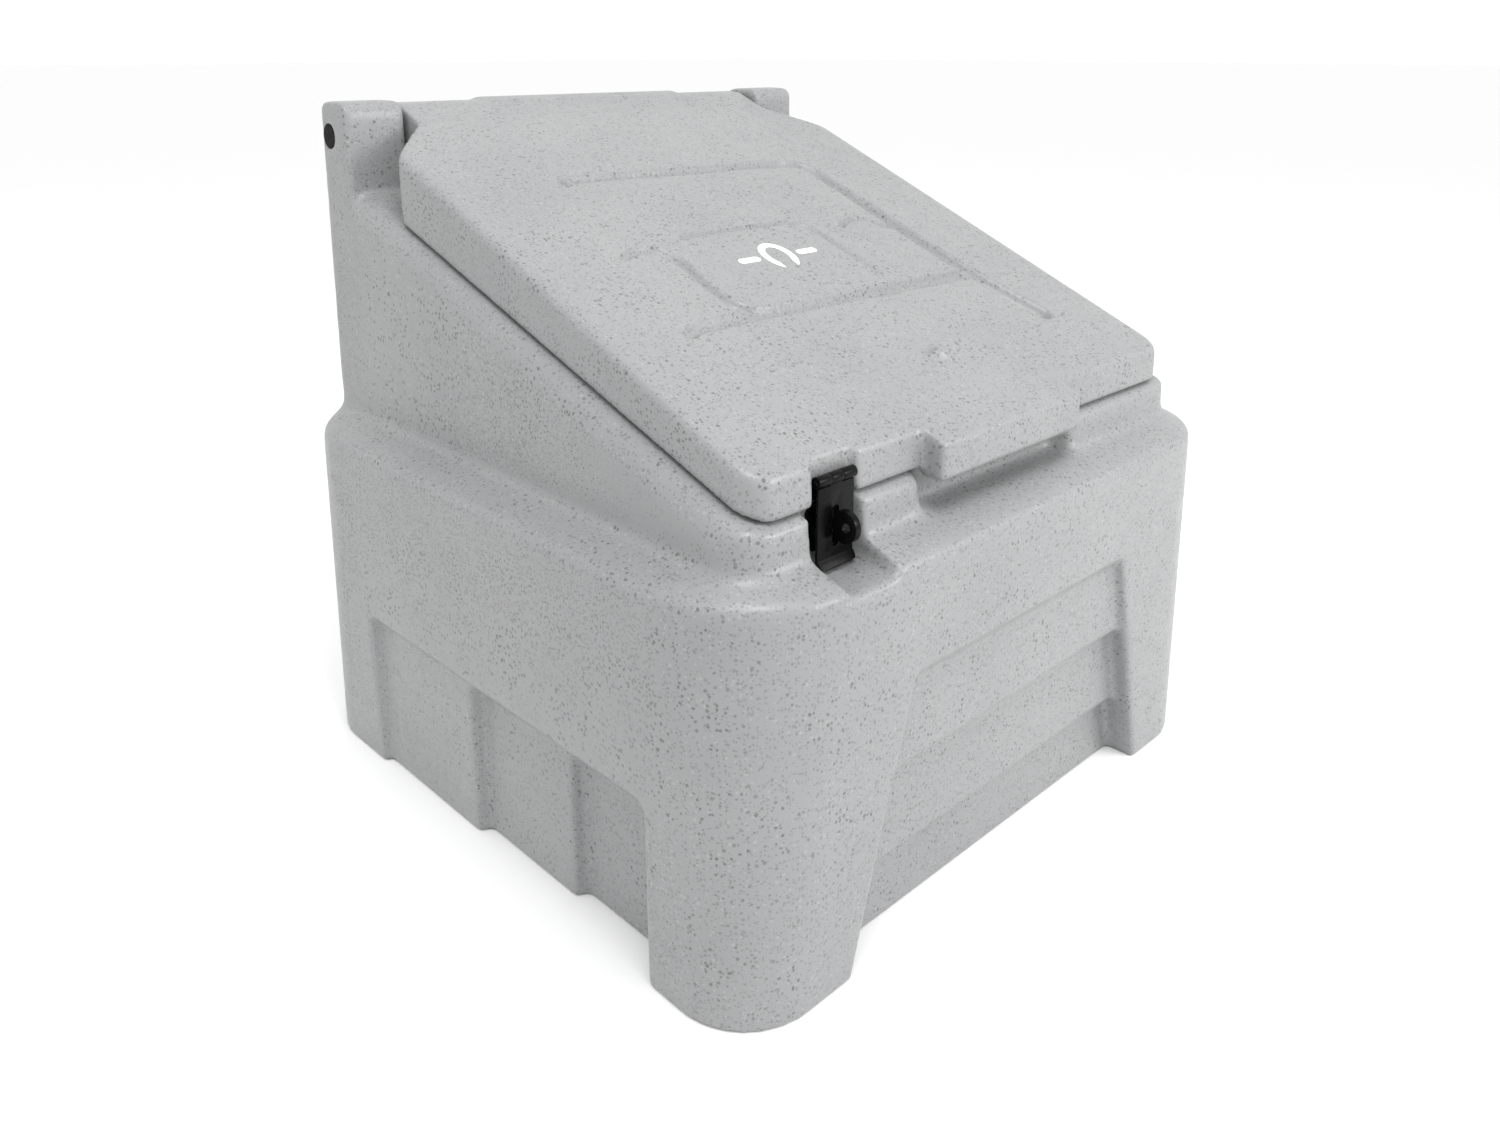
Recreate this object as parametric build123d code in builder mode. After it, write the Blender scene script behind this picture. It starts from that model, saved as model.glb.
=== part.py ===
from build123d import *
import math
import os

# A rotationally moulded storage bin: a square tub with a wedge-shaped hood on top, a sloping
# twin-walled lid on a steel rod along the rear, and a swivel hasp on the front.
# Millimetres. Origin on the floor under the middle of the tub. +X right, -Y front, +Z up.

# ---- tub and hood ----
HALF_WIDTH, HALF_DEPTH = 380.0, 374.0    # at the ledge
DRAFT = 4.0               # how much narrower each side is at the floor
LEDGE_CORNER_R, FLOOR_CORNER_R = 115.0, 75.0
WALL = 6.0
LEDGE_Z = 376.0           # outer edge of the ledge
HOOD_BASE_Z = 391.0       # where the sloping ledge meets the hood
HOOD_HALF_WIDTH = 337.5   # at its foot
HOOD_TAPER = 1.2          # lean of its walls, degrees
HOOD_FRONT_Y, HOOD_REAR_Y = -331.0, 352.0
HOOD_CORNER_R = 40.0
SHOULDER_R = 24.0         # rounding along the hood's sloping side edges
RIM_ANGLE = 19.5          # slope of the hood's rim, degrees
RIM_Y, RIM_Z = -324.0, 427.0             # the underside of the lid's front edge
LID_GAP = 2.0             # shut line between the rim and the lid
MOUTH_HALF = 282.0
MOUTH_FRONT_Y, MOUTH_REAR_Y = -282.0, 232.0
MOUTH_R = 40.0

# ---- slatted panels: each slat stands further in than the one before ----
SLAT_DEPTHS = (38.0, 25.0, 12.0)
STEP_BEVEL = 4.0
END_STEPS = (0.0, 74.0, 172.0)           # heights where the front slats begin
END_TOP_Z, END_TOP_SLOPE = 275.0, 1.4
END_TOP_HALF, END_BOTTOM_HALF = 169.0, 243.0
SIDE_STEPS = (-250.0, -122.0, 28.0)      # Y where the side slats begin, from the front
SIDE_REAR_Y = 218.0
SIDE_TOP_Z, SIDE_TOP_SLOPE = 187.0, 1.1
OUTSIDE = 30.0            # how far a cutting shape stands off the wall

# ---- hinge ----
ROD_Y, ROD_Z = 310.0, 691.5
ROD_R, ROD_BORE_R, ROD_HALF = 8.0, 6.5, 326.0
RUNNING = 0.06            # radial clearance where one piece turns in another
BARREL_R, BARREL_MID_HALF = 36.0, 148.0  # raised middle of the lid's hinge barrel
BARREL_END_R, BARREL_HALF = 33.0, 257.0
LUG_FRONT_Y, LUG_INNER_X = 268.0, 262.0
LUG_REAR_Y, LUG_TOP_Z, LUG_FOOT_Z = ROD_Y + BARREL_R, ROD_Z + BARREL_R, 560.0
LUG_FRONT_R = 14.0
CAP_R, CAP_GAP, CAP_THICK, CAP_SPIGOT = 14.0, 0.5, 3.5, 14.0

# ---- lid ----
LID_HALF_WIDTH = 317.0
LID_FRONT_Y, LID_FRONT_TOP_Z = -321.0, 465.0
LID_CORNER_R = 29.0
LID_NARROW_Y, LID_BARREL_Y = 189.0, 252.0    # the rear corners narrow between these
LID_SKIN = 5.0
HANDLE_HALF, HANDLE_FRONT_Y, HANDLE_LOW_Z = 112.0, -345.0, 419.0
HANDLE_BACK_Y, HANDLE_ROOT_Y = -314.0, -300.0
STEP_CLEAR, STEP_DEPTH = 9.0, 8.0        # the step under the lid that drops into the mouth

# ---- swivel hasp ----
HASP_X, HASP_HALF = -225.0, 21.5
KNUCKLE_HALF = 22.5       # half length of the hinge barrel
PLATE = 2.5
HASP_WALL_Y = -314.0      # lid face behind the hasp's fixed plate
PIN_Z, PIN_R, KNUCKLE_R = 448.5, 2.0, 5.0
PIN_Y = HASP_WALL_Y - KNUCKLE_R - 2
MID_KNUCKLE = 6.5         # half length of the middle knuckle
LEAF_FRONT_Y = -323.0
LEAF_BACK_Y = LEAF_FRONT_Y + PLATE
LIP_Y, LIP_Z, BEND_Z = -328.5, 373.0, 380.5
LEAF_CORNER_R = 7.0
SLOT_HALF, SLOT_LENGTH, SLOT_Z = 3.75, 36.0, 407.0
HASP_PLATE_LOW_Z = 432.0
NOTCH_WIDTH = 52.0        # the gap in the lid's front edge that holds the hasp
HASP_BLOCK_WIDTH, HASP_BLOCK_BACK_Y = 70.0, -270.0   # solid plastic behind the hasp, for its screws
STAPLE_WALL_Y = -310.0    # hood face behind the staple plate
POCKET_X, POCKET_HALF = -229.0, 31.0     # the niche that the hasp hangs in
POCKET_FLOOR_Z, POCKET_CORNER_R = 369.0, 3.0
SCOOP_FLOOR_Z, SCOOP_BACK_Y, SCOOP_CORNER_R = 389.0, -308.0, 18.0
STAPLE_FRONT_Y = STAPLE_WALL_Y - PLATE
STAPLE_Z = 409.0
NECK_R, SHANK_R, BOSS_R = 3.1, 4.0, 10.0
EYE_R = 4.5
SCREW_R, SCREW_HEAD_R = 2.5, 4.6
SCREW_SPOTS = ((-12.0, 438.5), (12.0, 438.5))
BOLT_SPOTS = ((-17.0, 418.0), (17.0, 418.0), (-12.0, 393.0), (12.0, 393.0))
NUT_R, NUT_THICK = 4.6, 4.0
INSERT_R, INSERT_LENGTH = 3.6, 7.0
SCREW_END = 290.0         # how far forward of the middle the holes around the hasp begin
STAPLE_PLATE_HALF = [(17.0, 385.0), (24.0, 420.0), (18.0, 427.0)]        # X from the hasp's middle, and Z
HEAD_R, HEAD_FORWARD, EYE_FORWARD = 14.0, 10.0, 13.0
LEAF_GAP = 0.8            # before and behind the leaf
HEAD_ROOT_Y = LEAF_FRONT_Y - LEAF_GAP
SHANK_END_Y = -299.0
WASHER_R, WASHER_THICK = 8.0, 2.0
BACKING_WIDTH, BACKING_HEIGHT, BACKING_Z = 52.0, 36.0, 405.0

# ---- marking on the lid ----
MARK_X, MARK_Y, MARK_THICK = -28.0, -62.0, 0.4
SHOE_OUTSIDE, SHOE_INSIDE = (21.0, 25.0), (12.0, 17.0)
BAR_LENGTH, BAR_WIDTH, BAR_FROM_SHOE = 30.0, 9.0, 42.0

RIM_SLOPE = math.tan(math.radians(RIM_ANGLE))
HOOD_LEAN = math.tan(math.radians(HOOD_TAPER))
# The lid's top plane runs from its front edge and is tangent to the hinge barrel.
LID_ANGLE = math.degrees(
    math.atan2(ROD_Z - LID_FRONT_TOP_Z, ROD_Y - LID_FRONT_Y)
    + math.asin(BARREL_R / math.hypot(ROD_Y - LID_FRONT_Y, ROD_Z - LID_FRONT_TOP_Z)))
LID_SLOPE = math.tan(math.radians(LID_ANGLE))


def rim_z(y):
    """Height of the lid's underside at y."""
    return RIM_Z + (y - RIM_Y) * RIM_SLOPE


def lid_z(y):
    """Height of the lid's top plane at y."""
    return LID_FRONT_TOP_Z + (y - LID_FRONT_Y) * LID_SLOPE


def hood_half(z):
    """Half width of the hood's outside at a height."""
    return HOOD_HALF_WIDTH - (z - HOOD_BASE_Z) * HOOD_LEAN


def prism(plane, points, low, high):
    """A polygon drawn on a plane and extruded from one distance to another along its normal."""
    with BuildPart() as block:
        with BuildSketch(plane.offset(low)):
            with BuildLine():
                Polyline(*points, close=True)
            make_face()
        extrude(amount=high - low)
    return block.part


def end_panel(grow):
    """The space of the front slats, each one lower down set further in."""
    line = [(-HALF_DEPTH - OUTSIDE, -10)]
    tops = END_STEPS[1:] + (END_TOP_Z - SLAT_DEPTHS[-1] * END_TOP_SLOPE,)
    for low, top, depth in zip(END_STEPS, tops, SLAT_DEPTHS):
        y = -HALF_DEPTH + depth + grow
        line += [(y, low + grow + STEP_BEVEL if low else -10), (y, top + grow)]
    line.append((-HALF_DEPTH - OUTSIDE, END_TOP_Z + grow + OUTSIDE * END_TOP_SLOPE))
    flare = (END_BOTTOM_HALF - END_TOP_HALF) / END_TOP_Z
    tall = END_TOP_Z + 3 * OUTSIDE
    low_half, high_half = (END_BOTTOM_HALF + grow - z * flare for z in (-10, tall))
    with BuildPart() as panel:
        add(prism(Plane.YZ, line, -END_BOTTOM_HALF - OUTSIDE, END_BOTTOM_HALF + OUTSIDE))
        outline = [(-low_half, -10), (low_half, -10), (high_half, tall), (-high_half, tall)]
        add(prism(Plane.XZ, outline, 0, HALF_DEPTH + OUTSIDE), mode=Mode.INTERSECT)
    return panel.part


def side_panel(grow):
    """The space of the left side's slats, each one nearer the front set further in."""
    line = [(-HALF_WIDTH - OUTSIDE, SIDE_STEPS[0] - grow)]
    ends = SIDE_STEPS[1:] + (SIDE_REAR_Y,)
    for start, end, depth in zip(SIDE_STEPS, ends, SLAT_DEPTHS):
        x = -HALF_WIDTH + depth + grow
        bevel = -grow if start == SIDE_STEPS[0] else STEP_BEVEL + grow
        line += [(x, start + bevel), (x, end + grow)]
    line.append((-HALF_WIDTH - OUTSIDE, SIDE_REAR_Y + grow))
    inmost, outmost = -HALF_WIDTH + 2 * OUTSIDE, -HALF_WIDTH - OUTSIDE
    inner_top, outer_top = (SIDE_TOP_Z + 1.5 * grow - (x + HALF_WIDTH) * SIDE_TOP_SLOPE
                            for x in (inmost, outmost))
    with BuildPart() as panel:
        add(prism(Plane.XY, line, -10, SIDE_TOP_Z + 2 * OUTSIDE))
        roof = [(outmost, -10), (inmost, -10), (inmost, inner_top), (outmost, outer_top)]
        add(prism(Plane.XZ, roof, -HALF_DEPTH, HALF_DEPTH), mode=Mode.INTERSECT)
    return panel.part


def hood_block(inset):
    """The hood's walls, rising past the rim to the top of the lugs."""
    with BuildPart() as block:
        with BuildSketch(Plane.XY.offset(HOOD_BASE_Z - 30)):
            with Locations((0, (HOOD_FRONT_Y + HOOD_REAR_Y) / 2)):
                RectangleRounded(2 * (hood_half(HOOD_BASE_Z - 30) - inset),
                                 HOOD_REAR_Y - HOOD_FRONT_Y - 2 * inset, HOOD_CORNER_R - inset)
        extrude(amount=LUG_TOP_Z + 20 - HOOD_BASE_Z + 30, taper=HOOD_TAPER)
    return block.part


def shoulder_bar(inset, side):
    """A bar along the rim's slope whose rounded upper edge is the hood's shoulder on one side."""
    rear_y = HOOD_REAR_Y + OUTSIDE
    drop = (LID_GAP + inset) / math.cos(math.radians(RIM_ANGLE))
    forward = Vector(side * HOOD_LEAN * RIM_SLOPE, -1, -RIM_SLOPE)
    rim_normal = Vector(0, -RIM_SLOPE, 1)
    across = Plane(origin=(0, rear_y, rim_z(rear_y) - drop), x_dir=rim_normal.cross(forward), z_dir=forward)
    edge_x = hood_half(rim_z(rear_y)) - inset
    with BuildPart() as bar:
        with BuildSketch(across):
            with Locations((side * (edge_x - HALF_WIDTH), -HALF_WIDTH)):
                RectangleRounded(2 * HALF_WIDTH, 2 * HALF_WIDTH, SHOULDER_R - inset)
        extrude(amount=3 * HALF_DEPTH)
    return bar.part


def bin_solid(inset):
    """Tub and hood up to the rim: 0 gives the outside, WALL the space within."""
    ledge = (LEDGE_Z, HALF_WIDTH, -HALF_DEPTH, HALF_DEPTH, LEDGE_CORNER_R)
    floor = (inset, HALF_WIDTH - DRAFT, DRAFT - HALF_DEPTH, HALF_DEPTH - DRAFT, FLOOR_CORNER_R)
    hood_foot = (HOOD_BASE_Z - inset, HOOD_HALF_WIDTH - 1, HOOD_FRONT_Y + 1, HOOD_REAR_Y - 1, HOOD_CORNER_R)
    with BuildPart() as solid:
        for pair in ((floor, ledge), (ledge, hood_foot)):
            for z, half, front, rear, radius in pair:
                with BuildSketch(Plane.XY.offset(z)):
                    with Locations((0, (front + rear) / 2)):
                        RectangleRounded(2 * (half - inset), rear - front - 2 * inset, radius - inset)
            loft(ruled=True)
        front_panel, left_panel = end_panel(inset), side_panel(inset)
        for panel in (front_panel, front_panel.mirror(Plane.XZ), left_panel, left_panel.mirror(Plane.YZ)):
            add(panel, mode=Mode.SUBTRACT)
        add(hood_block(inset) & shoulder_bar(inset, -1) & shoulder_bar(inset, 1))
    return solid.part


def niche(grow, x, half, floor_z, back_y, corner_r):
    """A niche in the ledge and the hood's front wall, open to the front and the top."""
    with BuildPart() as space:
        with BuildSketch(Plane.XY.offset(floor_z - grow)):
            with Locations((x, back_y + grow)):
                RectangleRounded(2 * (half + grow), 4 * OUTSIDE, corner_r + grow,
                                 align=(Align.CENTER, Align.MAX))
        extrude(amount=100)
    return space.part


def rods(plane, spots, radius, low, high):
    """Equal round bars through each spot, from one distance along the plane's normal to another."""
    with BuildPart() as bars:
        with BuildSketch(plane.offset(low)):
            with Locations(*spots):
                Circle(radius)
        extrude(amount=high - low)
    return bars.part


def heads(spots, surface_y):
    """Countersunk heads of the hasp's screws, flush with a face at surface_y."""
    with BuildPart() as cones:
        for spot in spots:
            for y, radius in ((surface_y, SCREW_HEAD_R), (surface_y + SCREW_HEAD_R - SCREW_R, SCREW_R)):
                with BuildSketch(Plane.XZ.offset(-y)):
                    with Locations(spot):
                        Circle(radius)
            loft()
    return cones.part


def beside_hasp(spots):
    """Spots given from the hasp's centre line, as X and Z."""
    return [(HASP_X + x, z) for x, z in spots]


# the niche that the hasp hangs in, and the hollow under the lid's handle that fingers reach into
POCKET = (POCKET_X, POCKET_HALF, POCKET_FLOOR_Z, STAPLE_WALL_Y, POCKET_CORNER_R)
SCOOP = (0, HANDLE_HALF + 6, SCOOP_FLOOR_Z, SCOOP_BACK_Y, SCOOP_CORNER_R)
bolt_spots, screw_spots = beside_hasp(BOLT_SPOTS), beside_hasp(SCREW_SPOTS)
staple_spot = [(HASP_X, STAPLE_Z)]
rod_spot, pin_spot = [(ROD_Y, ROD_Z)], [(PIN_Y, PIN_Z)]

# ---- body shell ----
with BuildPart() as lug_pair:
    for inner, outer in ((-HOOD_HALF_WIDTH, -LUG_INNER_X), (LUG_INNER_X, HOOD_HALF_WIDTH)):
        with BuildSketch(Plane.YZ.offset(inner)) as lug:
            with BuildLine():
                Polyline((ROD_Y, LUG_TOP_Z), (LUG_FRONT_Y, LUG_TOP_Z), (LUG_FRONT_Y, LUG_FOOT_Z),
                         (LUG_REAR_Y, LUG_FOOT_Z), (LUG_REAR_Y, ROD_Z))
                RadiusArc((LUG_REAR_Y, ROD_Z), (ROD_Y, LUG_TOP_Z), -BARREL_R)
            make_face()
            fillet(lug.vertices().sort_by(Axis.X)[:2].sort_by(Axis.Y)[-1], LUG_FRONT_R)
        extrude(amount=outer - inner)

outer_body = bin_solid(0)
inner_body = bin_solid(WALL) - niche(WALL, *POCKET) - niche(WALL, *SCOOP)

with BuildPart() as body_shell:
    add(outer_body)
    add(hood_block(0) & lug_pair.part)
    add(niche(0, *POCKET), mode=Mode.SUBTRACT)
    add(niche(0, *SCOOP), mode=Mode.SUBTRACT)
    add(inner_body, mode=Mode.SUBTRACT)
    with BuildSketch(Plane.XY.offset(HOOD_BASE_Z)):
        with Locations((0, (MOUTH_FRONT_Y + MOUTH_REAR_Y) / 2)):
            RectangleRounded(2 * MOUTH_HALF, MOUTH_REAR_Y - MOUTH_FRONT_Y, MOUTH_R)
    extrude(amount=LUG_TOP_Z - HOOD_BASE_Z, mode=Mode.SUBTRACT)
    add(rods(Plane.YZ, rod_spot, ROD_R, -HALF_WIDTH, HALF_WIDTH), mode=Mode.SUBTRACT)
    for low, high in ((-HALF_WIDTH, -ROD_HALF), (ROD_HALF, HALF_WIDTH)):
        add(rods(Plane.YZ, rod_spot, CAP_R + CAP_GAP, low, high), mode=Mode.SUBTRACT)
    add(rods(Plane.XZ, bolt_spots, SCREW_R, SCREW_END, -HOOD_FRONT_Y), mode=Mode.SUBTRACT)
    add(rods(Plane.XZ, staple_spot, SHANK_R + 1, SCREW_END, -HOOD_FRONT_Y), mode=Mode.SUBTRACT)

# ---- lid ----
CHAMFER_PLAN = [(-LID_HALF_WIDTH, LID_NARROW_Y), (-BARREL_HALF, LID_BARREL_Y), (-BARREL_HALF, 400),
                (BARREL_HALF, 400), (BARREL_HALF, LID_BARREL_Y), (LID_HALF_WIDTH, LID_NARROW_Y)]


def lid_solid(inset, rear_y):
    """The lid's wedge between its underside and its top plane, drawn in by inset."""
    lean = inset / math.cos(math.radians(LID_ANGLE))
    tangent_y = ROD_Y - BARREL_R * math.sin(math.radians(LID_ANGLE))
    top_rear = min(rear_y, tangent_y)
    side = [(LID_FRONT_Y - 3 + inset, rim_z(LID_FRONT_Y - 3 + inset) + lean),
            (LID_FRONT_Y + inset, lid_z(LID_FRONT_Y + inset) - lean),
            (top_rear, lid_z(top_rear) - lean), (rear_y, ROD_Z), (rear_y, rim_z(rear_y) + lean)]
    with BuildPart() as wedge:
        add(prism(Plane.YZ, side, -LID_HALF_WIDTH, LID_HALF_WIDTH))
        with BuildSketch(Plane.XY.offset(300)) as plan:
            with BuildLine():
                Polyline((-LID_HALF_WIDTH, LID_FRONT_Y - 3), *CHAMFER_PLAN, (LID_HALF_WIDTH, LID_FRONT_Y - 3),
                         close=True)
            make_face()
            fillet(plan.vertices().group_by(Axis.Y)[0], LID_CORNER_R)
            if inset:
                offset(amount=-inset)
        extrude(amount=600, mode=Mode.INTERSECT)
    return wedge.part


def step_solid(inset, lowest, highest):
    """The step under the lid that drops into the mouth, between two planes parallel to the rim."""
    front, rear = MOUTH_FRONT_Y + STEP_CLEAR + inset, MOUTH_REAR_Y - STEP_CLEAR - inset
    side = [(y, rim_z(y) + lift) for y, lift in
            ((front, lowest), (rear, lowest), (rear, highest), (front, highest))]
    with BuildPart() as step:
        with BuildSketch(Plane.XY.offset(300)):
            with Locations((0, (front + rear) / 2)):
                RectangleRounded(2 * (MOUTH_HALF - STEP_CLEAR - inset), rear - front,
                                 MOUTH_R - STEP_CLEAR - inset)
        extrude(amount=500)
        add(prism(Plane.YZ, side, -MOUTH_HALF, MOUTH_HALF), mode=Mode.INTERSECT)
    return step.part


lid_cavity = lid_solid(LID_SKIN, ROD_Y - BARREL_R - LID_SKIN)
with BuildPart() as lid:
    add(lid_solid(0, ROD_Y))
    top_face = lid.faces().sort_by(SortBy.AREA).filter_by(lambda f: f.normal_at().Z > 0.8)[-1]
    fillet(top_face.edges().filter_by(lambda e: e.center().Y < LID_NARROW_Y), 8)
    add(prism(Plane.YZ, [(HANDLE_FRONT_Y, HANDLE_LOW_Z), (HANDLE_FRONT_Y, lid_z(HANDLE_FRONT_Y)),
                         (HANDLE_ROOT_Y, lid_z(HANDLE_ROOT_Y)), (HANDLE_ROOT_Y, rim_z(HANDLE_ROOT_Y)),
                         (HANDLE_BACK_Y, rim_z(HANDLE_BACK_Y)), (HANDLE_BACK_Y - 7, HANDLE_LOW_Z)],
              -HANDLE_HALF, HANDLE_HALF))
    add(step_solid(0, -STEP_DEPTH, 1))
    for half, radius in ((BARREL_HALF, BARREL_END_R), (BARREL_MID_HALF, BARREL_R)):
        add(rods(Plane.YZ, rod_spot, radius, -half, half))
    add(rods(Plane.YZ, rod_spot, ROD_R + RUNNING, -BARREL_HALF, BARREL_HALF), mode=Mode.SUBTRACT)
    with Locations((HASP_X, HASP_WALL_Y, PIN_Z)):
        Box(NOTCH_WIDTH, OUTSIDE, LID_FRONT_TOP_Z - HANDLE_LOW_Z + OUTSIDE,
            align=(Align.CENTER, Align.MAX, Align.CENTER), mode=Mode.SUBTRACT)
    with Locations((HASP_X, HASP_BLOCK_BACK_Y, PIN_Z)):
        hasp_block = Box(HASP_BLOCK_WIDTH, 2 * OUTSIDE, 2 * (PIN_Z - POCKET_FLOOR_Z),
                         align=(Align.CENTER, Align.MAX, Align.CENTER), mode=Mode.PRIVATE)
    add(lid_cavity + step_solid(LID_SKIN, LID_SKIN - STEP_DEPTH, LID_SKIN + 2) - hasp_block, mode=Mode.SUBTRACT)
    add(rods(Plane.XZ, screw_spots, INSERT_R, -HASP_WALL_Y - INSERT_LENGTH, -HASP_WALL_Y), mode=Mode.SUBTRACT)

# ---- hinge rod and its end caps ----
with BuildPart() as hinge_rod:
    add(rods(Plane.YZ, rod_spot, ROD_R, -ROD_HALF, ROD_HALF))
    add(rods(Plane.YZ, rod_spot, ROD_BORE_R, -ROD_HALF, ROD_HALF), mode=Mode.SUBTRACT)

with BuildPart() as rod_end_caps:
    with BuildSketch(Plane.YZ.offset(ROD_HALF)):
        with Locations(rod_spot[0]):
            Circle(CAP_R)
    extrude(amount=CAP_THICK)
    fillet(rod_end_caps.edges().sort_by(Axis.X)[-1], 2.5)
    add(rods(Plane.YZ, rod_spot, ROD_BORE_R, ROD_HALF - CAP_SPIGOT, ROD_HALF))
    mirror(about=Plane.YZ)

# ---- hasp on the lid ----
with BuildPart() as hasp_plate:
    outline = [(-HASP_HALF, HASP_PLATE_LOW_Z), (HASP_HALF, HASP_PLATE_LOW_Z), (HASP_HALF, PIN_Z),
               (-HASP_HALF, PIN_Z)]
    add(prism(Plane.XZ, beside_hasp(outline), -HASP_WALL_Y, PLATE - HASP_WALL_Y))
    add(rods(Plane.YZ, pin_spot, KNUCKLE_R, HASP_X - KNUCKLE_HALF, HASP_X + KNUCKLE_HALF))
    with Locations((HASP_X, PIN_Y - 1, PIN_Z)):
        Box(2 * MID_KNUCKLE + 1, 3 * KNUCKLE_R + 2, 2 * KNUCKLE_R + 1, mode=Mode.SUBTRACT)
    add(rods(Plane.YZ, pin_spot, PIN_R, HASP_X - OUTSIDE, HASP_X + OUTSIDE), mode=Mode.SUBTRACT)
    add(heads(screw_spots, HASP_WALL_Y - PLATE), mode=Mode.SUBTRACT)
    add(rods(Plane.XZ, screw_spots, SCREW_R, SCREW_END, -LEAF_FRONT_Y), mode=Mode.SUBTRACT)

with BuildPart() as hasp_leaf:
    lip_turn = PLATE * 0.45
    add(prism(Plane.YZ, [(LEAF_FRONT_Y, PIN_Z), (LEAF_FRONT_Y, BEND_Z), (LIP_Y, LIP_Z + lip_turn),
                         (LIP_Y + PLATE * 0.7, LIP_Z - lip_turn), (LEAF_BACK_Y, BEND_Z - lip_turn),
                         (LEAF_BACK_Y, PIN_Z)], HASP_X - HASP_HALF, HASP_X + HASP_HALF))
    with BuildSketch(Plane.XZ.offset(-STAPLE_WALL_Y)):
        with Locations((HASP_X, LIP_Z - lip_turn)):
            RectangleRounded(2 * HASP_HALF, 2 * (PIN_Z - LIP_Z), LEAF_CORNER_R, align=(Align.CENTER, Align.MIN))
    extrude(amount=OUTSIDE, mode=Mode.INTERSECT)
    with Locations((HASP_X, PIN_Y, PIN_Z)):
        Box(2 * KNUCKLE_HALF + 2, 3 * KNUCKLE_R, 2 * KNUCKLE_R + 1, mode=Mode.SUBTRACT)
    middle = (HASP_X - MID_KNUCKLE, HASP_X + MID_KNUCKLE)
    tongue_z = PIN_Z - KNUCKLE_R - PLATE
    add(prism(Plane.YZ, [(LEAF_FRONT_Y, PIN_Z), (LEAF_FRONT_Y, tongue_z), (LEAF_BACK_Y, tongue_z),
                         (LEAF_BACK_Y, PIN_Z)], *middle))
    add(rods(Plane.YZ, pin_spot, KNUCKLE_R, *middle))
    add(rods(Plane.YZ, pin_spot, PIN_R + RUNNING, *middle), mode=Mode.SUBTRACT)
    with BuildSketch(Plane.XZ.offset(-STAPLE_WALL_Y)):
        with Locations((HASP_X, SLOT_Z)):
            SlotOverall(SLOT_LENGTH, 2 * SLOT_HALF, rotation=90)
    extrude(amount=OUTSIDE, mode=Mode.SUBTRACT)

with BuildPart() as hasp_pin:
    add(rods(Plane.YZ, pin_spot, PIN_R, HASP_X - KNUCKLE_HALF - 1, HASP_X + KNUCKLE_HALF + 1))
    chamfer(hasp_pin.edges().filter_by(GeomType.CIRCLE), 0.6)

with BuildPart() as hasp_screws:
    add(rods(Plane.XZ, screw_spots, SCREW_R, -HASP_WALL_Y - INSERT_LENGTH, -HASP_WALL_Y + 0.4))
    add(heads(screw_spots, HASP_WALL_Y - PLATE))

with BuildPart() as lid_inserts:
    add(rods(Plane.XZ, screw_spots, INSERT_R, -HASP_WALL_Y - INSERT_LENGTH, -HASP_WALL_Y))
    add(rods(Plane.XZ, screw_spots, SCREW_R, SCREW_END, -HASP_WALL_Y), mode=Mode.SUBTRACT)

# ---- swivel staple on the body ----
with BuildPart() as staple_plate:
    outline = STAPLE_PLATE_HALF + [(-x, z) for x, z in reversed(STAPLE_PLATE_HALF)]
    add(prism(Plane.XZ, beside_hasp(outline), -STAPLE_WALL_Y, -STAPLE_FRONT_Y))
    fillet(staple_plate.edges().filter_by(Axis.Y), 2)
    add(rods(Plane.XZ, staple_spot, SHANK_R + RUNNING, SCREW_END, -LEAF_FRONT_Y), mode=Mode.SUBTRACT)
    add(heads(bolt_spots, STAPLE_FRONT_Y), mode=Mode.SUBTRACT)
    add(rods(Plane.XZ, bolt_spots, SCREW_R, SCREW_END, -LEAF_FRONT_Y), mode=Mode.SUBTRACT)

with BuildPart() as swivel_staple:
    # boss behind the leaf, neck through its slot, shank through the plate and the wall
    for radius, front, back in ((BOSS_R, LEAF_BACK_Y + LEAF_GAP, STAPLE_FRONT_Y - LEAF_GAP / 2),
                                (NECK_R, HEAD_ROOT_Y - 2, LEAF_BACK_Y + LEAF_GAP),
                                (SHANK_R, STAPLE_FRONT_Y - LEAF_GAP / 2, SHANK_END_Y)):
        add(rods(Plane.XZ, staple_spot, radius, -back, -front))
    with BuildSketch(Plane.YZ.offset(HASP_X - NECK_R)) as head:
        with Locations((HEAD_ROOT_Y - HEAD_FORWARD, STAPLE_Z)):
            Circle(HEAD_R)
        with Locations((HEAD_ROOT_Y, STAPLE_Z)):
            Rectangle(4 * HEAD_R, 4 * HEAD_R, align=(Align.MIN, Align.CENTER), mode=Mode.SUBTRACT)
        with Locations((HEAD_ROOT_Y - EYE_FORWARD, STAPLE_Z)):
            Circle(EYE_R, mode=Mode.SUBTRACT)
    extrude(amount=2 * NECK_R)

with BuildPart() as swivel_washer:
    add(rods(Plane.XZ, staple_spot, WASHER_R, -SHANK_END_Y + 0.2, -SHANK_END_Y + 0.2 + WASHER_THICK))
    add(rods(Plane.XZ, staple_spot, SHANK_R, -SHANK_END_Y, -STAPLE_WALL_Y), mode=Mode.SUBTRACT)

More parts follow.
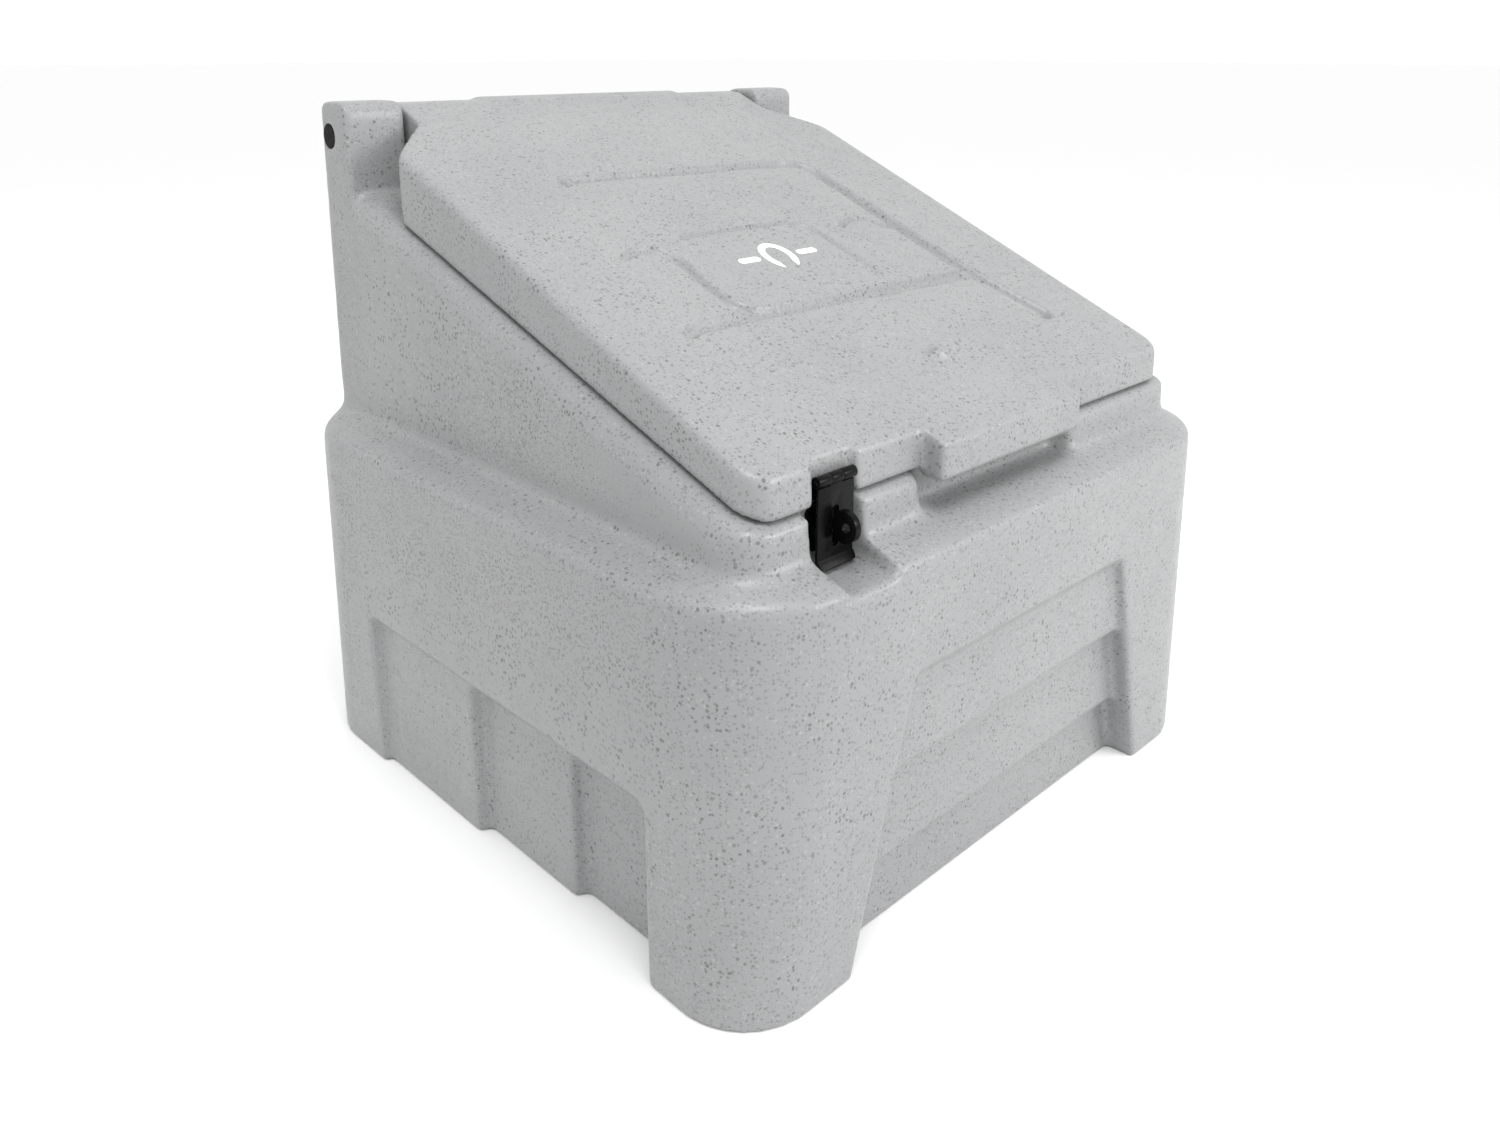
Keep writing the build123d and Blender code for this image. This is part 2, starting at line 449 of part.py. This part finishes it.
backing_y = STAPLE_WALL_Y + WALL
with BuildPart() as staple_backing_plate:
    with BuildSketch(Plane.XZ.offset(-backing_y - PLATE)):
        with Locations((HASP_X, BACKING_Z)):
            RectangleRounded(BACKING_WIDTH, BACKING_HEIGHT, 4)
        with Locations(*bolt_spots):
            Circle(SCREW_R, mode=Mode.SUBTRACT)
        with Locations(*staple_spot):
            Circle(SHANK_R + 1, mode=Mode.SUBTRACT)
    extrude(amount=PLATE)

nut_face = -backing_y - PLATE
bolt_head = -STAPLE_FRONT_Y - SCREW_HEAD_R + SCREW_R
with BuildPart() as staple_bolts:
    add(rods(Plane.XZ, bolt_spots, SCREW_R, nut_face - NUT_THICK - 2, bolt_head))
    add(heads(bolt_spots, STAPLE_FRONT_Y))

with BuildPart() as staple_nuts:
    with BuildSketch(Plane.XZ.offset(nut_face - NUT_THICK)):
        with Locations(*bolt_spots):
            RegularPolygon(NUT_R, 6)
            Circle(SCREW_R, mode=Mode.SUBTRACT)
    extrude(amount=NUT_THICK)

# ---- plain white marking on the lid's panel: a horseshoe between two bars ----
mark_plane = Plane(origin=(MARK_X, MARK_Y, lid_z(MARK_Y)), x_dir=(1, 0, 0),
                   z_dir=(0, -math.sin(math.radians(LID_ANGLE)), math.cos(math.radians(LID_ANGLE))))
with BuildPart() as lid_marking:
    with BuildSketch(mark_plane):
        Ellipse(*SHOE_OUTSIDE)
        Ellipse(*SHOE_INSIDE, mode=Mode.SUBTRACT)
        with Locations((0, -SHOE_OUTSIDE[1])):
            Rectangle(1.5 * SHOE_INSIDE[0], SHOE_OUTSIDE[1], mode=Mode.SUBTRACT)
        with Locations((-BAR_FROM_SHOE, 0), (BAR_FROM_SHOE, 0)):
            SlotOverall(BAR_LENGTH, BAR_WIDTH)
    extrude(amount=MARK_THICK)

os.makedirs("parts", exist_ok=True)
NODES = {
    "body_shell": body_shell, "lid": lid, "hinge_rod": hinge_rod, "rod_end_caps": rod_end_caps,
    "hasp_plate": hasp_plate, "hasp_leaf": hasp_leaf, "hasp_pin": hasp_pin, "hasp_screws": hasp_screws,
    "lid_inserts": lid_inserts, "staple_plate": staple_plate, "swivel_staple": swivel_staple,
    "swivel_washer": swivel_washer, "staple_backing_plate": staple_backing_plate,
    "staple_bolts": staple_bolts, "staple_nuts": staple_nuts, "lid_marking": lid_marking,
}
for node, piece in NODES.items():
    piece.part.label = node
    export_step(piece.part, f"parts/{node}.step")
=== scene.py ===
import math

import bmesh
import bpy
import numpy as np
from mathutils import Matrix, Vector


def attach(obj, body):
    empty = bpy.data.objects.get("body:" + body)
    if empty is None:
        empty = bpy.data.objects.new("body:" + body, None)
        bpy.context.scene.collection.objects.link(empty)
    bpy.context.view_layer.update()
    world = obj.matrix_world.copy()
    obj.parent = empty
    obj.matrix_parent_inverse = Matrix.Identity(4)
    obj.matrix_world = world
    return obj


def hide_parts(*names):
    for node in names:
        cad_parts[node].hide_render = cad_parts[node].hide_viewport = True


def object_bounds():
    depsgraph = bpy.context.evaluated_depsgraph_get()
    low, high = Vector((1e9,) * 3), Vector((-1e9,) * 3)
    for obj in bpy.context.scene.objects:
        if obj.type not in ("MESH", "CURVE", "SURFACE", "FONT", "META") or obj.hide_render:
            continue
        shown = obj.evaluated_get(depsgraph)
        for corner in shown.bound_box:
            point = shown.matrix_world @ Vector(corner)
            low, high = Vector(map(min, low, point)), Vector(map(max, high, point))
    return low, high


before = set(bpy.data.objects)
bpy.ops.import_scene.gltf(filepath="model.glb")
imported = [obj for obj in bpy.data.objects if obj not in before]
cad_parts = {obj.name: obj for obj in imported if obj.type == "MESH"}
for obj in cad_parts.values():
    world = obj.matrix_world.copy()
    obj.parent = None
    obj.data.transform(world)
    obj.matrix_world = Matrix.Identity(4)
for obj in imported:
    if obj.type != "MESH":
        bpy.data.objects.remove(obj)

# A rotationally moulded storage bin with a sloping lid and a swivel hasp. Metres, in the CAD frame.
# The moulded bin and lid are rebuilt as soft-edged meshes; the metalwork gets broken edges and finishes.

CAD_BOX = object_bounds()

# ---- how finely the mouldings are rebuilt; the body's voxels stay well under its 6 mm wall ----
BODY_VOXEL = 0.0030
LID_VOXEL = 0.0024
BODY_ROUNDING, LID_ROUNDING = ((14, 22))     # smoothing passes
LEDGE_ROUNDING, SCOOP_ROUNDING = ((24, 60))
BODY_FACES, LID_FACES = 170000, 150000                          # most triangles left in each
PRINT_VOXEL = 0.0004

# ---- the lid's top plane ----
LID_FRONT_Y, LID_FRONT_TOP_Z = -0.321, 0.465
ROD_Y, ROD_Z, BARREL_R = 0.310, 0.6915, 0.036
LID_ANGLE = (math.atan2(ROD_Z - LID_FRONT_TOP_Z, ROD_Y - LID_FRONT_Y)
             + math.asin(BARREL_R / math.hypot(ROD_Y - LID_FRONT_Y, ROD_Z - LID_FRONT_TOP_Z)))
LID_UP = np.array((0.0, math.cos(LID_ANGLE), math.sin(LID_ANGLE)))         # up the slope
LID_NORMAL = np.array((0.0, -math.sin(LID_ANGLE), math.cos(LID_ANGLE)))
LID_FRONT = np.array((0.0, LID_FRONT_Y, LID_FRONT_TOP_Z))

# ---- the ledge round the foot of the hood, and the two niches cut into it ----
LEDGE_MIDDLE_Z, LEDGE_BAND, LEDGE_FADE = 0.386, 0.080, 0.012
NICHE_BACK_Y = -0.295
HASP_NICHE_X, HASP_NICHE_HALF, HASP_NICHE_SHARE = -0.229, 0.046, 0.6
SCOOP_HALF, SCOOP_FADE, SCOOP_LOW_Z = 0.145, 0.02, 0.376
WEIGHT_STEPS = 20         # levels that a smoothing weight is rounded to


# ---- mesh work ----

def linked(name, mesh):
    """A new object in the scene that holds a mesh, a lamp or a camera."""
    piece = bpy.data.objects.new(name, mesh)
    bpy.context.collection.objects.link(piece)
    return piece


def copy_of(node, name, dissolve=False):
    """A welded copy of a CAD node's mesh, free to be reshaped."""
    mesh = bpy.data.meshes.new(name)
    work = bmesh.new()
    work.from_mesh(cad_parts[node].data)
    bmesh.ops.remove_doubles(work, verts=work.verts, dist=1e-5)
    if dissolve:
        bmesh.ops.dissolve_limit(work, angle_limit=math.radians(1.5), verts=work.verts, edges=work.edges)
    work.to_mesh(mesh)
    work.free()
    return linked(name, mesh)


def coordinates(mesh):
    flat = np.empty(len(mesh.vertices) * 3, dtype=np.float32)
    mesh.vertices.foreach_get("co", flat)
    return flat.reshape(-1, 3).astype(np.float64)


def move_vertices(mesh, places):
    mesh.vertices.foreach_set("co", places.astype(np.float32).ravel())
    mesh.update()


def apply_modifiers(piece):
    graph = bpy.context.evaluated_depsgraph_get()
    mesh = bpy.data.meshes.new_from_object(piece.evaluated_get(graph))
    piece.modifiers.clear()
    old, piece.data = piece.data, mesh
    bpy.data.meshes.remove(old)


def keep_widest_shell(piece):
    """Deletes every separate shell but the widest, such as the skin of a sealed space inside."""
    work = bmesh.new()
    work.from_mesh(piece.data)
    seen, shells = set(), []
    for start in work.verts:
        if start in seen:
            continue
        shell, waiting = [], [start]
        seen.add(start)
        while waiting:
            vertex = waiting.pop()
            shell.append(vertex)
            for edge in vertex.link_edges:
                other = edge.other_vert(vertex)
                if other not in seen:
                    seen.add(other)
                    waiting.append(other)
        shells.append(shell)
    spans = [max(v.co.x for v in shell) - min(v.co.x for v in shell) for shell in shells]
    widest = spans.index(max(spans))
    inner = [v for i, shell in enumerate(shells) if i != widest for v in shell]
    bmesh.ops.delete(work, geom=inner, context="VERTS")
    work.to_mesh(piece.data)
    work.free()


def soften(piece, voxel, passes):
    """Remeshes a piece evenly and rounds its edges, the way a rotational moulding comes out."""
    remesh = piece.modifiers.new("voxels", "REMESH")
    remesh.mode = "VOXEL"
    remesh.voxel_size = voxel
    smooth = piece.modifiers.new("rounding", "SMOOTH")
    smooth.factor = 0.5
    smooth.iterations = passes
    apply_modifiers(piece)


def smooth_by_weight(piece, weights, passes):
    """Rounds only part of a piece: each vertex is smoothed in proportion to its weight."""
    group = piece.vertex_groups.new(name="softer")
    levels = np.round(weights * WEIGHT_STEPS)
    for level in np.unique(levels[levels > 0]):
        group.add(np.nonzero(levels == level)[0].tolist(), level / WEIGHT_STEPS, "REPLACE")
    smooth = piece.modifiers.new("softer", "SMOOTH")
    smooth.factor = 0.5
    smooth.iterations = passes
    smooth.vertex_group = group.name
    apply_modifiers(piece)
    piece.vertex_groups.clear()


def soften_ledge(piece):
    """Rounds the ledge and the foot of the hood more, and the finger hollow under the handle most."""
    x, y, z = coordinates(piece.data).T
    band = np.clip((LEDGE_BAND / 2 - np.abs(z - LEDGE_MIDDLE_Z)) / LEDGE_FADE, 0, 1)
    hasp_niche = (y < NICHE_BACK_Y) & (np.abs(x - HASP_NICHE_X) < HASP_NICHE_HALF)
    smooth_by_weight(piece, band * np.where(hasp_niche, HASP_NICHE_SHARE, 1.0), LEDGE_ROUNDING)
    x, y, z = coordinates(piece.data).T
    hollow = (y < NICHE_BACK_Y) & (z > SCOOP_LOW_Z)
    smooth_by_weight(piece, hollow * np.clip((SCOOP_HALF - np.abs(x)) / SCOOP_FADE, 0, 1), SCOOP_ROUNDING)


def thin_out(piece, most_faces):
    """Decimates a dense mesh to at most so many triangles."""
    triangles = 2 * len(piece.data.polygons)
    if triangles > most_faces:
        decimate = piece.modifiers.new("thin", "DECIMATE")
        decimate.ratio = most_faces / triangles
        apply_modifiers(piece)


def inside_cad_box(piece):
    low, high = np.array(CAD_BOX[0]), np.array(CAD_BOX[1])
    move_vertices(piece.data, np.clip(coordinates(piece.data), low, high))


# ---- the lid's moulded relief ----
# Each groove is drawn on the lid's top as (x, distance up the slope from the front edge), in millimetres,
# with its widths and its depths at both ends. The last is the dip in front of the hinge barrel.
GROOVES = (
    (((-172, 466), (-150, 472), (0, 469), (130, 467), (165, 461), (180, 440), (184, 400), (187, 330),
      (190, 250), (195, 190), (203, 140), (212, 100)), (14, 27), (6.5, 12.0)),
    (((-226, 188), (-200, 194), (-60, 195), (60, 193), (150, 192), (188, 190)), (16, 22), (6.5, 10.0)),
    (((-203, 320), (-180, 327), (-160, 322), (-150, 300), (-151, 260), (-149, 225), (-138, 205), (-112, 196)),
     (13, 14), (5.0, 7.0)),
    (((-114, 337), (-90, 341), (20, 340), (48, 336), (60, 318), (66, 270), (72, 222)), (9, 8), (4.0, 3.2)),
    (((108, 318), (125, 326), (150, 327), (168, 308), (184, 298)), (10, 13), (4.5, 6.0)),
    (((-138, 646), (0, 646), (138, 646)), (40, 40), (3.0, 3.0)),
)
BUMP_X, BUMP_S, BUMP_LONG, BUMP_WIDE, BUMP_HIGH = 3.5, 79.0, 11.0, 8.0, 8.0
TOP_START, TOP_END, TOP_HALF = 20, 680, 300        # the stretch of the lid's top that carries relief
TOP_BELOW, TOP_ABOVE = -6, 3                       # heights off its plane that count as the top


def spline_through(points, steps=24):
    """Points along a Catmull-Rom curve through the given ones."""
    given = np.array(points, dtype=float)
    padded = np.vstack((2 * given[0] - given[1], given, 2 * given[-1] - given[-2]))
    t = np.linspace(0, 1, steps, endpoint=False)[:, None]
    spans = []
    for p0, p1, p2, p3 in zip(padded, padded[1:], padded[2:], padded[3:]):
        spans.append(0.5 * (2 * p1 + (p2 - p0) * t + (2 * p0 - 5 * p1 + 4 * p2 - p3) * t ** 2
                            + (3 * p1 - p0 - 3 * p2 + p3) * t ** 3))
    return np.vstack(spans + [given[-1:]])


def groove_depth(spots, points, widths, depths):
    """How far one groove lowers the surface at each spot, in millimetres."""
    curve = spline_through(points)
    share = np.linspace(0, 1, len(curve))
    nearest = np.empty(len(spots), dtype=int)
    gap = np.empty(len(spots))
    for start in range(0, len(spots), 20000):
        part = spots[start:start + 20000]
        gaps = ((part[:, None, :] - curve[None, :, :]) ** 2).sum(axis=2)
        nearest[start:start + 20000] = gaps.argmin(axis=1)
        gap[start:start + 20000] = np.sqrt(gaps.min(axis=1))
    across = gap / (np.interp(share[nearest], (0, 1), widths) / 2)
    return np.interp(share[nearest], (0, 1), depths) * np.clip(1 - across ** 2, 0, 1)


def relief(places):
    """Places on the lid's top, lowered by the grooves and raised by the small moulded bump."""
    x = places[:, 0] * 1000
    s = (places - LID_FRONT) @ LID_UP * 1000
    height = (places - LID_FRONT) @ LID_NORMAL * 1000
    on_top = ((height > TOP_BELOW) & (height < TOP_ABOVE) & (s > TOP_START) & (s < TOP_END)
              & (np.abs(x) < TOP_HALF))
    spots = np.column_stack((x[on_top], s[on_top]))
    change = np.zeros(len(spots))
    for groove in GROOVES:
        change = np.minimum(change, -groove_depth(spots, *groove))
    dx, ds = spots[:, 0] - BUMP_X, spots[:, 1] - BUMP_S
    lean = 1 + 0.5 * np.clip(dx / BUMP_LONG, -1, 1)
    change += BUMP_HIGH * np.exp(-np.abs(dx / BUMP_LONG) ** 2.5 - np.abs(ds / (BUMP_WIDE * lean)) ** 2.5)
    moved = places.copy()
    moved[on_top] += change[:, None] / 1000 * LID_NORMAL
    return moved


def engrave(piece):
    move_vertices(piece.data, relief(coordinates(piece.data)))


# ---- materials ----

class Shading:
    """A material being built: short calls for the nodes that every finish here uses."""

    def __init__(self, name, **sockets):
        self.material = bpy.data.materials.new(name)
        self.material.use_nodes = True
        self.tree = self.material.node_tree
        self.shader = self.tree.nodes["Principled BSDF"]
        self.place = self.node("ShaderNodeTexCoord").outputs["Object"]
        for socket, value in sockets.items():
            self.shader.inputs[socket.replace("_", " ")].default_value = value

    def node(self, kind, **settings):
        made = self.tree.nodes.new(kind)
        for key, value in settings.items():
            setattr(made, key, value)
        return made

    def feed(self, socket, value):
        if hasattr(value, "is_linked"):
            self.tree.links.new(value, socket)
        else:
            socket.default_value = value

    def noise(self, scale, detail):
        made = self.node("ShaderNodeTexNoise")
        made.inputs["Scale"].default_value = scale
        made.inputs["Detail"].default_value = detail
        self.feed(made.inputs["Vector"], self.place)
        return made.outputs["Fac"]

    def math(self, operation, a, b):
        made = self.node("ShaderNodeMath", operation=operation)
        self.feed(made.inputs[0], a)
        self.feed(made.inputs[1], b)
        return made.outputs[0]

    def between(self, value, low, high, out_low=0.0, out_high=1.0):
        made = self.node("ShaderNodeMapRange", clamp=True)
        for socket, number in zip(made.inputs[1:5], (low, high, out_low, out_high)):
            socket.default_value = number
        self.feed(made.inputs[0], value)
        return made.outputs[0]

    def blend(self, factor, a, b):
        made = self.node("ShaderNodeMix", data_type="RGBA")
        self.feed(made.inputs["Factor"], factor)
        self.feed(made.inputs[6], a)
        self.feed(made.inputs[7], b)
        return made.outputs[2]

    def specks(self, scale, radius, wobble):
        """1 inside scattered specks of about the given radius in metres, 0 outside."""
        shift = self.node("ShaderNodeTexNoise")
        shift.inputs["Scale"].default_value = 0.75 / radius
        self.feed(shift.inputs["Vector"], self.place)
        centred = self.node("ShaderNodeVectorMath", operation="SUBTRACT")
        self.feed(centred.inputs[0], shift.outputs["Color"])
        centred.inputs[1].default_value = (0.5, 0.5, 0.5)
        scaled = self.node("ShaderNodeVectorMath", operation="SCALE")
        self.feed(scaled.inputs[0], centred.outputs[0])
        scaled.inputs["Scale"].default_value = wobble
        warped = self.node("ShaderNodeVectorMath", operation="ADD")
        self.feed(warped.inputs[0], self.place)
        self.feed(warped.inputs[1], scaled.outputs[0])
        cells = self.node("ShaderNodeTexVoronoi")
        cells.inputs["Scale"].default_value = scale
        self.feed(cells.inputs["Vector"], warped.outputs[0])
        chance = self.node("ShaderNodeSeparateColor")
        self.feed(chance.inputs[0], cells.outputs["Color"])
        limit = self.math("MULTIPLY", chance.outputs[0], radius * scale * 1.6)
        inside = self.math("SUBTRACT", limit, cells.outputs["Distance"])
        return self.between(inside, 0.0, radius * scale * 0.45)

    def bump(self, height, strength, distance, before=None):
        made = self.node("ShaderNodeBump")
        made.inputs["Strength"].default_value = strength
        made.inputs["Distance"].default_value = distance
        self.feed(made.inputs["Height"], height)
        if before:
            self.feed(made.inputs["Normal"], before)
        return made.outputs["Normal"]

    def finish(self, colour=None, roughness=None, normal=None):
        for socket, value in (("Base Color", colour), ("Roughness", roughness), ("Normal", normal)):
            if value is not None:
                self.feed(self.shader.inputs[socket], value)
        return self.material


def grey(level, warm=0.0):
    return (level * (1 + warm), level, level * (1 - warm), 1.0)


def granite_plastic():
    """Light grey polyethylene moulded from powder with dark and pale grains in it."""
    s = Shading("granite_polyethylene", Specular_IOR_Level=0.50)
    cloud = s.between(s.noise(7, 3), 0.3, 0.7)
    base = s.blend(cloud, grey(0.262, -0.012), grey(0.284, -0.010))
    patchy = s.between(s.noise(26, 2), 0.38, 0.62, 0.25, 1.0)
    pale = s.blend(s.math("MULTIPLY", s.specks(210, 0.0012, 0.0012), 0.22), base, grey(0.46))
    fine = s.blend(s.math("MULTIPLY", s.specks(380, 0.0009, 0.0006), 0.50), pale, grey(0.13))
    dark = s.math("MULTIPLY", s.math("MULTIPLY", s.specks(225, 0.0013, 0.0012), patchy), 0.70)
    colour = s.blend(dark, fine, grey(0.075))
    rough = s.between(s.noise(60, 4), 0.3, 0.7, 0.32, 0.44)
    peel = s.bump(s.noise(70, 3), 0.25, 0.0010)
    skin = s.bump(s.noise(420, 2), 0.30, 0.00025, peel)
    return s.finish(colour, rough, skin)


def powder_coat():
    """Black satin powder coat on steel, with a fine texture."""
    s = Shading("black_powder_coat", Specular_IOR_Level=0.10)
    colour = s.blend(s.between(s.noise(900, 2), 0.35, 0.7), grey(0.0020), grey(0.0035))
    rough = s.between(s.noise(300, 3), 0.3, 0.7, 0.22, 0.34)
    return s.finish(colour, rough, s.bump(s.noise(1400, 2), 0.35, 0.00012))


def zinc_steel():
    """Bright zinc-plated steel, faintly clouded."""
    s = Shading("zinc_plated_steel", Metallic=1.0)
    colour = s.blend(s.between(s.noise(220, 4), 0.3, 0.7), grey(0.52, 0.01), grey(0.66, -0.01))
    rough = s.between(s.noise(500, 3), 0.3, 0.7, 0.24, 0.42)
    return s.finish(colour, rough, s.bump(s.noise(800, 3), 0.2, 0.0001))


def turned_brass():
    s = Shading("turned_brass", Metallic=1.0)
    colour = s.blend(s.noise(300, 3), (0.60, 0.42, 0.16, 1), (0.74, 0.55, 0.24, 1))
    return s.finish(colour, s.between(s.noise(700, 2), 0.3, 0.7, 0.25, 0.4))


def black_plastic():
    """Moulded black plastic of the rod's end caps."""
    s = Shading("black_plastic", Specular_IOR_Level=0.08)
    colour = s.blend(s.noise(400, 2), grey(0.0035), grey(0.0065))
    return s.finish(colour, s.between(s.noise(250, 2), 0.3, 0.7, 0.42, 0.56),
                    s.bump(s.noise(900, 2), 0.25, 0.0001))


def white_print():
    """White vinyl marking, slightly uneven."""
    s = Shading("white_vinyl", Specular_IOR_Level=0.35)
    colour = s.blend(s.noise(500, 3), grey(0.86), grey(0.93))
    return s.finish(colour, s.between(s.noise(300, 2), 0.3, 0.7, 0.45, 0.6),
                    s.bump(s.noise(420, 2), 0.3, 0.0002))


def paint(piece, material):
    piece.data.materials.clear()
    piece.data.materials.append(material)


# ---- the object ----

def stand_in(piece, node, body, material):
    """Paints a piece and puts it in the place of a CAD node, on that node's body."""
    paint(piece, material)
    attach(piece, body)
    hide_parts(node)


def moulded_piece(node, name, body, voxel, passes, most_faces, detail):
    """A moulding with rounded edges, then whatever detail adds to it."""
    piece = copy_of(node, name)
    keep_widest_shell(piece)
    soften(piece, voxel, passes)
    detail(piece)
    thin_out(piece, most_faces)
    inside_cad_box(piece)
    piece.data.shade_smooth()
    stand_in(piece, node, body, plastic)


def hasp_piece(node, name, body, edge):
    """A coated piece of the hasp with its edges broken by a small radius."""
    piece = copy_of(node, name, dissolve=True)
    bevel = piece.modifiers.new("broken_edges", "BEVEL")
    bevel.width = edge
    bevel.segments = 3
    bevel.limit_method = "ANGLE"
    bevel.angle_limit = math.radians(32)
    apply_modifiers(piece)
    inside_cad_box(piece)
    piece.data.shade_smooth()
    piece.data.set_sharp_from_angle(angle=math.radians(34))
    stand_in(piece, node, body, coat)


def lid_print():
    """The white marking, meshed finely so that it follows the lid's relief."""
    piece = copy_of("lid_marking", "lid_white_marking")
    grid = piece.modifiers.new("grid", "REMESH")
    grid.mode = "VOXEL"
    grid.voxel_size = PRINT_VOXEL
    apply_modifiers(piece)
    engrave(piece)
    piece.data.shade_smooth()
    stand_in(piece, "lid_marking", "lid", vinyl)


plastic, coat, zinc = granite_plastic(), powder_coat(), zinc_steel()
brass, cap_plastic, vinyl = turned_brass(), black_plastic(), white_print()

moulded_piece("body_shell", "moulded_body", "bin", BODY_VOXEL, BODY_ROUNDING, BODY_FACES, soften_ledge)
moulded_piece("lid", "moulded_lid", "lid", LID_VOXEL, LID_ROUNDING, LID_FACES, engrave)

hasp_piece("hasp_plate", "hasp_fixed_plate", "lid", 0.0005)
hasp_piece("hasp_leaf", "hasp_hanging_leaf", "leaf", 0.0006)
hasp_piece("staple_plate", "staple_face_plate", "bin", 0.0005)
hasp_piece("swivel_staple", "staple_turn_head", "staple", 0.0007)
lid_print()

FINISHES = {
    "hinge_rod": zinc, "rod_end_caps": cap_plastic, "hasp_pin": coat, "hasp_screws": coat,
    "lid_inserts": brass, "swivel_washer": zinc, "staple_backing_plate": zinc, "staple_bolts": coat,
    "staple_nuts": zinc,
}
for node, material in FINISHES.items():
    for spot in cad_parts[node].material_slots:
        spot.link = "OBJECT"
        spot.material = material


# ---- floor, light and camera ----
FLOOR_HALF, FLOOR_DROP = 60.0, 0.0005
SKY_STRENGTH = 1.04
LENS, SENSOR, LENS_SHIFT = 28.63, 36.0, -0.115
CAMERA_PLACE = (-0.9058, -0.9246, 0.7825)
CAMERA_PITCH, CAMERA_YAW = 16.05, 44.12            # degrees down, and to the right
MIDDLE = (0.0, 0.0, 0.35)


def floor_material():
    s = Shading("studio_floor", Specular_IOR_Level=0.2)
    return s.finish(s.blend(s.noise(3, 2), grey(0.93), grey(0.95)), s.between(s.noise(5, 2), 0, 1, 0.7, 0.8))


def stage_floor():
    mesh = bpy.data.meshes.new("studio_floor")
    corners = [(-FLOOR_HALF, -FLOOR_HALF, 0), (FLOOR_HALF, -FLOOR_HALF, 0),
               (FLOOR_HALF, FLOOR_HALF, 0), (-FLOOR_HALF, FLOOR_HALF, 0)]
    mesh.from_pydata(corners, [], [(0, 1, 2, 3)])
    floor = linked("studio_floor", mesh)
    paint(floor, floor_material())
    floor.location.z = -FLOOR_DROP


def soft_light(name, place, target, size, watts):
    lamp = bpy.data.lights.new(name, "AREA")
    lamp.shape = "SQUARE"
    lamp.size = size
    lamp.energy = watts
    light = linked(name, lamp)
    light.location = place
    aim = np.array(target) - np.array(place)
    yaw, pitch = math.atan2(-aim[0], aim[1]), math.atan2(aim[2], math.hypot(aim[0], aim[1]))
    light.rotation_euler = (math.pi / 2 + pitch, 0, yaw)


def studio_world():
    world = bpy.data.worlds.new("studio")
    world.use_nodes = True
    sky = world.node_tree.nodes["Background"]
    sky.inputs["Color"].default_value = (1.0, 1.0, 1.0, 1.0)
    sky.inputs["Strength"].default_value = SKY_STRENGTH
    bpy.context.scene.world = world


def camera():
    lens = bpy.data.cameras.new("camera")
    lens.lens = LENS
    lens.sensor_width = SENSOR
    lens.shift_y = LENS_SHIFT
    lens.clip_start, lens.clip_end = 0.05, 200.0
    eye = linked("camera", lens)
    eye.location = CAMERA_PLACE
    eye.rotation_euler = (math.pi / 2 - math.radians(CAMERA_PITCH), 0, -math.radians(CAMERA_YAW))
    bpy.context.scene.camera = eye


stage_floor()
studio_world()
camera()
soft_light("key_light", (1.3, -2.7, 1.6), MIDDLE, 1.2, 43)
soft_light("top_light", (-0.7, -1.0, 2.9), MIDDLE, 1.2, 36)
soft_light("left_fill", (-1.3, -0.2, 3.0), MIDDLE, 2.0, 5)
bpy.context.scene.view_settings.view_transform = "Standard"
